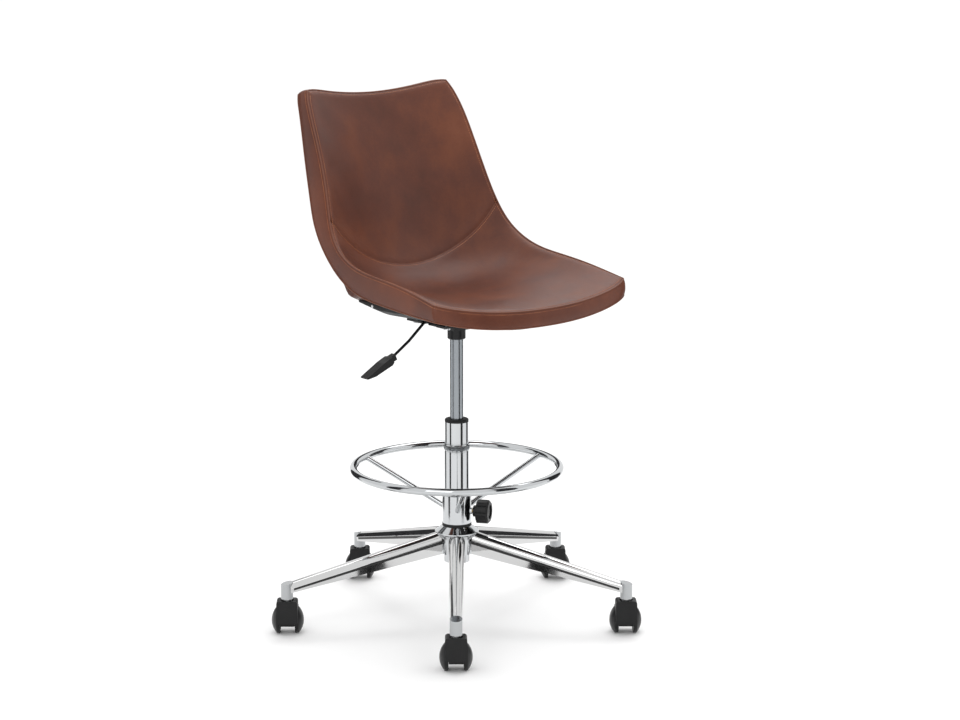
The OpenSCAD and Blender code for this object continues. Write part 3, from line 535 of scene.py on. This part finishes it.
face_row = inset_rim(0.0055)
row_gap = 0.0048
band_row = rim_top + rim_way * row_gap + rim_side * 0.0022
cross_out = face_normal(fine_across, fine_station)
cross_down = unit(face(fine_across, fine_station + 0.01) - face(fine_across, fine_station))
cross_row = (face(fine_across, fine_station) + cross_down * row_gap
             + cross_out * valley(np.array(row_gap), seam_drop, seam_reach))
rows = [stitch_row(face_row, rim_out), stitch_row(band_row, rim_side),
        stitch_row(cross_row[4:-4], cross_out[4:-4], closed=False)]
points, quads, caps, base = [], [], [], 0
for row_points, row_quads, row_ends in rows:
    points.append(row_points)
    quads.append(row_quads + base)
    caps.append(row_ends + base)
    base += len(row_points)
stitching = new_piece("stitching", np.concatenate(points), np.concatenate(quads), np.concatenate(caps))
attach(stitching, "seat")
print("stitches:", base // 36)

# %% [markdown]
# ## Finishes
# Each finish is a small graph of nodes on the object's own coordinates, so the pattern stays on the piece as it
# moves. Noise gives slow changes of tone, a cell pattern gives leather its pebbled grain, and both feed the
# roughness and the bump as well as the colour, because a real surface changes in all three together.

# %% Helpers for finishes
class Finish:
    """A new material with its shader at hand, and short calls for the few nodes used here."""

    def __init__(self, name, colour, rough, metal=0.0):
        self.material = bpy.data.materials.new(name)
        self.material.use_nodes = True
        self.nodes, self.links = self.material.node_tree.nodes, self.material.node_tree.links
        self.shader = self.nodes["Principled BSDF"]
        self.shader.inputs["Base Color"].default_value = (*colour, 1)
        self.shader.inputs["Roughness"].default_value = rough
        self.shader.inputs["Metallic"].default_value = metal
        self.place = self.nodes.new("ShaderNodeTexCoord").outputs["Object"]

    def noise(self, scale, detail=3.0, rough=0.5, stretch=None):
        made = self.nodes.new("ShaderNodeTexNoise")
        made.inputs["Scale"].default_value = scale
        made.inputs["Detail"].default_value = detail
        made.inputs["Roughness"].default_value = rough
        self.links.new(self.stretched(stretch), made.inputs["Vector"])
        return made.outputs["Fac"]

    def stretched(self, stretch):
        if stretch is None:
            return self.place
        mapping = self.nodes.new("ShaderNodeMapping")
        mapping.inputs["Scale"].default_value = stretch
        self.links.new(self.place, mapping.inputs["Vector"])
        return mapping.outputs["Vector"]

    def cells(self, scale, feature="DISTANCE_TO_EDGE"):
        made = self.nodes.new("ShaderNodeTexVoronoi")
        made.feature = feature
        made.inputs["Scale"].default_value = scale
        self.links.new(self.place, made.inputs["Vector"])
        return made.outputs["Distance"]

    def sum_of(self, *parts):
        """Adds value sockets together, each times its weight."""
        total = None
        for value, weight in parts:
            times = self.maths("MULTIPLY", value, weight)
            total = times if total is None else self.maths("ADD", total, times)
        return total

    def maths(self, kind, first, second=0.0, third=None):
        made = self.nodes.new("ShaderNodeMath")
        made.operation = kind
        for slot, value in enumerate((first, second, third)):
            if value is None:
                continue
            if isinstance(value, (int, float)):
                made.inputs[slot].default_value = value
            else:
                self.links.new(value, made.inputs[slot])
        return made.outputs[0]

    def ramp(self, value, stops):
        made = self.nodes.new("ShaderNodeValToRGB")
        bar = made.color_ramp
        while len(bar.elements) < len(stops):
            bar.elements.new(0.5)
        for element, (at, colour) in zip(bar.elements, stops):
            element.position = at
            element.color = (*colour, 1) if len(colour) == 3 else (*([colour[0]] * 3), 1)
        self.links.new(value, made.inputs["Fac"])
        return made.outputs["Color"]

    def into(self, socket, value):
        self.links.new(value, self.shader.inputs[socket])

    def range_of(self, value, low, high, to_low, to_high):
        made = self.nodes.new("ShaderNodeMapRange")
        for slot, number in zip(("From Min", "From Max", "To Min", "To Max"), (low, high, to_low, to_high)):
            made.inputs[slot].default_value = number
        self.links.new(value, made.inputs["Value"])
        return made.outputs["Result"]

    def bump(self, height, distance, strength=1.0):
        made = self.nodes.new("ShaderNodeBump")
        made.inputs["Distance"].default_value = distance
        made.inputs["Strength"].default_value = strength
        self.links.new(height, made.inputs["Height"])
        self.into("Normal", made.outputs["Normal"])


def shade(hexed):
    """A colour given as its screen value, turned into the linear value a shader needs."""
    parts = np.array([int(hexed[k:k + 2], 16) for k in (0, 2, 4)]) / 255
    return tuple(np.where(parts <= 0.04045, parts / 12.92, ((parts + 0.055) / 1.055) ** 2.4))


print("brown in linear light:", np.round(shade("7a4630"), 3))

# %% [markdown]
# ## Leather
# Pull-up leather is dyed through and waxed. It is mottled at the width of a hand, streaked where it has been
# stretched, and covered with a fine pebble of cells about a millimetre across. Rubbed, warm places are
# redder; the wax gives a soft gloss that breaks up in the grain.

# %% Leather and thread
def leather(name, dark, mid, warm, light):
    made = Finish(name, shade(mid), 0.42)
    slow = made.noise(7.0, 4.0, 0.55)
    streak = made.noise(16.0, 5.0, 0.6, stretch=(1.0, 1.0, 0.45))
    fine = made.noise(210.0, 3.0, 0.6)
    tone = made.sum_of((slow, 0.55), (streak, 0.33), (fine, 0.12))
    stops = [(0.30, shade(dark)), (0.46, shade(mid)), (0.60, shade(warm)), (0.78, shade(light))]
    made.into("Base Color", made.ramp(tone, stops))
    pebble = made.cells(720.0)
    crease = made.cells(310.0)
    made.bump(made.sum_of((pebble, 1.0), (crease, 0.5), (fine, 0.35), (slow, 0.2)), 0.00045, 0.42)
    wear = made.sum_of((slow, 0.4), (streak, 0.3), (pebble, 0.5))
    made.into("Roughness", made.range_of(wear, 0.25, 0.75, 0.34, 0.50))
    made.shader.inputs["Specular IOR Level"].default_value = 0.28
    made.shader.inputs["Coat Weight"].default_value = 0.04
    made.shader.inputs["Coat Roughness"].default_value = 0.38
    return made.material


face_leather = leather("leather face", "46251a", "552c1e", "653520", "74422c")
band_leather = leather("leather band", "482419", "582d1d", "673622", "76442f")
cover_leather = leather("leather cover", "422319", "51291c", "5f3221", "6c3e2b")
thread = Finish("thread", shade("a05a36"), 0.6)
thread.bump(thread.noise(2500.0, 2.0), 0.0001, 0.5)
thread.into("Base Color", thread.ramp(thread.noise(40.0), [(0.35, shade("9c5530")), (0.65, shade("c07a4c"))]))
seam_leather = Finish("seam edge", shade("6a3a24"), 0.5)
seam_leather.bump(seam_leather.noise(900.0), 0.0002, 0.5)
for piece, material in ((back_cushion, face_leather), (seat_cushion, face_leather), (edge_band, band_leather),
                        (back_cover, cover_leather), (stitching, thread.material), (face_seam, seam_leather.material),
                        (low_seam, seam_leather.material), (cross_seam, seam_leather.material)):
    piece.data.materials.append(material)
print("leathers:", face_leather.name, band_leather.name, cover_leather.name)

# %% [markdown]
# ## Chrome, steel and plastic
# Chrome is nearly a mirror: what it shows is the studio. Only a trace of ripple and haze keeps it from looking
# computed. The gas lift's tube is ground, so its highlights are drawn out along it. On the legs, a fine dark line
# along the fold between the rounded top and the flat side is a painted reflection of the dark studio, drawn into the
# colour. Moulded plastic has a spark-eroded grain.

# %% Chrome, with a painted reflection line along the leg's fold
def chrome(name, tone=0.56, haze=0.07):
    made = Finish(name, (tone * 0.965, tone * 0.99, tone * 1.01), haze, 1.0)
    made.into("Roughness", made.range_of(made.noise(30.0, 4.0), 0.3, 0.7, haze * 0.7, haze * 1.6))
    made.bump(made.noise(22.0, 2.0), 0.0012, 0.06)
    return made


bright = chrome("chrome").material
# The caster sockets take a darker copy of the chrome, as painted shade for the darker reflections they show.
shaded_socket_chrome = chrome("chrome sockets painted darker", 0.43).material
rod_chrome = chrome("hard chrome rod", 0.36, 0.12).material
leg_chrome = chrome("chrome legs")
# Painted reflection: in a thin strip along the legs' fold the colour is near black and the metal is off. This stands
# in for the dark studio seen in the fold.
split = leg_chrome.nodes.new("ShaderNodeSeparateXYZ")
leg_chrome.links.new(leg_chrome.place, split.inputs["Vector"])
x_part, y_part, z_part = split.outputs
x_square, y_square = (leg_chrome.maths("MULTIPLY", part, part) for part in (x_part, y_part))
reach = leg_chrome.maths("SQRT", leg_chrome.sum_of((x_square, 1.0), (y_square, 1.0)))
fold_root, fold_tip, root_reach, tip_reach = 0.1775, 0.0988, 0.038, 0.370
fall = (fold_tip - fold_root) / (tip_reach - root_reach)
fold_height = leg_chrome.maths("MULTIPLY_ADD", reach, fall, fold_root - fall * root_reach)
below = leg_chrome.maths("SUBTRACT", fold_height, z_part)
painted_line_width = leg_chrome.maths("MULTIPLY_ADD", reach, -0.006, 0.0066)
painted_reflection_line = leg_chrome.maths("MULTIPLY", leg_chrome.maths("GREATER_THAN", below, -0.0006),
                           leg_chrome.maths("LESS_THAN", below, painted_line_width))
painted_reflection_line = leg_chrome.maths("MULTIPLY", painted_reflection_line, leg_chrome.maths("LESS_THAN", reach, 0.3585))
leg_chrome.into("Base Color", leg_chrome.ramp(painted_reflection_line, [(0.0, (0.60,)), (1.0, (0.010,))]))
leg_chrome.into("Metallic", leg_chrome.maths("SUBTRACT", 1.0, painted_reflection_line))

ground_steel = Finish("ground steel", (0.29, 0.31, 0.33), 0.22, 1.0)
drawn_out = ground_steel.noise(60.0, 3.0, stretch=(1, 1, 0.05))
ground_steel.into("Roughness", ground_steel.range_of(drawn_out, 0.3, 0.7, 0.16, 0.30))
ground_steel.bump(ground_steel.noise(900.0, 2.0, stretch=(1, 1, 0.02)), 0.0003, 0.08)
zinc = Finish("zinc plated steel", (0.68, 0.69, 0.70), 0.30, 1.0)
zinc.into("Roughness", zinc.range_of(zinc.noise(350.0), 0.3, 0.7, 0.22, 0.42))
brass = Finish("brass", (0.70, 0.50, 0.22), 0.28, 1.0)
brass.into("Roughness", brass.range_of(brass.noise(400.0), 0.3, 0.7, 0.2, 0.4))
print("leg fold falls", round(-fall * 1000), "mm a metre")


# %% Plastic and paint
def moulded(name, tone, low, high, grain, deep):
    """Black plastic: grain in the bump, slow patches in the gloss."""
    made = Finish(name, (tone, tone, tone * 1.06), (low + high) / 2)
    made.into("Roughness", made.range_of(made.noise(45.0, 4.0), 0.3, 0.7, low, high))
    made.bump(made.noise(grain, 3.0, 0.6), deep, 0.35)
    made.shader.inputs["Specular IOR Level"].default_value = 0.3
    return made.material


hood_plastic = moulded("hood plastic", 0.006, 0.42, 0.58, 1100.0, 0.00020)
wheel_plastic = moulded("wheel plastic", 0.005, 0.30, 0.42, 1600.0, 0.00010)
knob_plastic = moulded("knob plastic", 0.005, 0.30, 0.45, 1300.0, 0.00012)
pan_plastic = moulded("pan plastic", 0.009, 0.50, 0.65, 900.0, 0.00025)
black_paint = moulded("black paint", 0.007, 0.28, 0.40, 700.0, 0.00008)
moulded_shell.data.materials.append(pan_plastic)
seat_pan.data.materials.append(pan_plastic)
rib_screws.data.materials.append(zinc.material)

# %% [markdown]
# ## Dressing the CAD nodes
# Each CAD node keeps its shape and takes one of the finishes above, by what the real piece is made of.

# %% Nodes and their finishes
finish_of = {
    "base_hub": bright, "caster_sockets": shaded_socket_chrome, "column_sleeve": bright, "lift_tube": bright,
    "ring_collar": bright,
    "ring_spokes": bright, "ring_hoop": bright, "piston_rod": rod_chrome, "pressure_tube": ground_steel.material,
    "thrust_washer": zinc.material, "retaining_clip": zinc.material, "release_pin": zinc.material,
    "plate_bolts": zinc.material, "lever_pin": zinc.material, "clamp_screw": brass.material,
    "guide_bush": pan_plastic, "ring_liner": pan_plastic, "clamp_knob": knob_plastic, "lever_paddle": knob_plastic,
    "taper_socket": black_paint, "lever_box": black_paint, "mount_plate": black_paint, "lever_rod": black_paint,
}
starts = {"base_leg": leg_chrome.material, "caster_hood": hood_plastic, "caster_stem": zinc.material,
          "caster_axle": zinc.material, "wheel_": wheel_plastic}
dressed = 0
for node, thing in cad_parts.items():
    material = finish_of.get(node) or next((m for start, m in starts.items() if node.startswith(start)), None)
    if material is None:
        continue
    thing.data.materials.clear()
    thing.data.materials.append(material)
    dressed += 1
print("dressed nodes:", dressed)

# %% [markdown]
# ## Studio
# The lighting is high key: a white floor that runs into a white background, soft light from everywhere and a
# large overhead lamp. Chrome in a white room would vanish, so black cards stand round the stool. Only
# reflections see them.

# %% Floor, cards, lamps and background
def board(name, corners, material):
    made = new_piece(name, np.array(corners, float), np.array([[0, 1, 2, 3]]))
    made.data.materials.append(material)
    return made


floor_paint = Finish("white floor", (0.97, 0.97, 0.97), 0.9)
floor_paint.shader.inputs["Specular IOR Level"].default_value = 0.1
wide = 60.0
board("floor", [[-wide, -wide, 0], [wide, -wide, 0], [wide, wide, 0], [-wide, wide, 0]], floor_paint.material)
card_paint = Finish("black card", (0.02, 0.02, 0.022), 0.9)
facing = np.degrees(np.arctan2(stand_point[1], stand_point[0]))
cards = ((48, 11, 0.90, 1.3), (118, 14, 0.95, 1.3), (-62, 8, 0.90, 1.3), (-128, 14, 0.95, 1.3), (180, 10, 1.10, 1.0))
for number, (turn, half_width, far, tall) in enumerate(cards):
    middle = np.radians(facing + turn)
    spot = far * np.array([np.cos(middle), np.sin(middle)])
    side = far * np.tan(np.radians(half_width)) * np.array([-np.sin(middle), np.cos(middle)])
    low_left, low_right = [*(spot - side), 0.0], [*(spot + side), 0.0]
    high_left, high_right = [*(spot - side), tall], [*(spot + side), tall]
    card = board(f"card_{number + 1}", [low_left, low_right, high_right, high_left], card_paint.material)
    card.visible_camera = card.visible_diffuse = card.visible_shadow = False


def lamp(name, spot, target, size, power, colour=(1, 1, 1)):
    made = bpy.data.objects.new(name, bpy.data.lights.new(name, "AREA"))
    made.data.shape, made.data.size, made.data.energy, made.data.color = "SQUARE", size, power, colour
    bpy.context.scene.collection.objects.link(made)
    made.matrix_world = aim(np.array(spot), np.array(target) - np.array(spot))
    return made


lamp("overhead", (0.9, 0.5, 3.2), (0, 0, 0.7), 2.2, 34)
lamp("front_left", (-2.6, -1.6, 2.2), (0, 0, 0.8), 1.6, 15)
world = bpy.data.worlds.new("white room")
world.use_nodes = True
world.node_tree.nodes["Background"].inputs["Color"].default_value = (1, 1, 1, 1)
world.node_tree.nodes["Background"].inputs["Strength"].default_value = 1.06
bpy.context.scene.world = world
bpy.context.scene.view_settings.view_transform = "Standard"
print("lamps: 2, cards:", len(cards))
